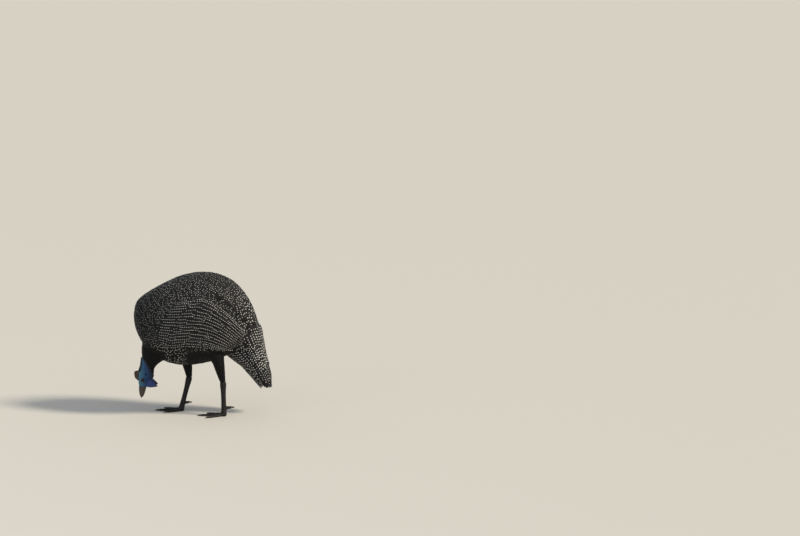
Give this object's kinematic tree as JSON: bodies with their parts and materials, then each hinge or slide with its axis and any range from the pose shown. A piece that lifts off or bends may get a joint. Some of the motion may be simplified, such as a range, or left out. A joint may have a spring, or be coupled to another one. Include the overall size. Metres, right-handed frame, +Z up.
{
  "type": "guinea fowl",
  "caption": "Spotted helmeted guinea fowl, life size, standing with its head down to feed, its back arched and its tail hanging low.",
  "frame": {"origin": "on the floor, under the middle of the bird's overall length and width", "axes": "+Z up; the bird faces -X, and its left side is towards -Y"},
  "size_m": [0.3324, 0.1834, 0.346],
  "materials": {
    "plumage": "matte",
    "neck_down": "matte",
    "face_skin": "satin",
    "wattle_skin": "satin",
    "casque_horn": "satin",
    "bill_horn": "satin",
    "eye": "gloss",
    "leg_scale": "satin",
    "claw_horn": "satin"
  },
  "bodies": {
    "root": {"torso": "plumage", "neck": "neck_down", "head": "face_skin", "casque": "casque_horn", "bill_upper": "bill_horn", "bill_lower": "bill_horn", "eye_left": "eye", "wattle_left": "wattle_skin", "wing_left": "plumage", "thigh_left": "plumage", "shank_left": "leg_scale", "toe_inner_left": "leg_scale", "claw_inner_left": "claw_horn", "toe_middle_left": "leg_scale", "claw_middle_left": "claw_horn", "toe_outer_left": "leg_scale", "claw_outer_left": "claw_horn", "toe_back_left": "leg_scale", "claw_back_left": "claw_horn", "eye_right": "eye", "wattle_right": "wattle_skin", "wing_right": "plumage", "thigh_right": "plumage", "shank_right": "leg_scale", "toe_inner_right": "leg_scale", "claw_inner_right": "claw_horn", "toe_middle_right": "leg_scale", "claw_middle_right": "claw_horn", "toe_outer_right": "leg_scale", "claw_outer_right": "claw_horn", "toe_back_right": "leg_scale", "claw_back_right": "claw_horn", "tail": "plumage"}
  },
  "joints": []
}
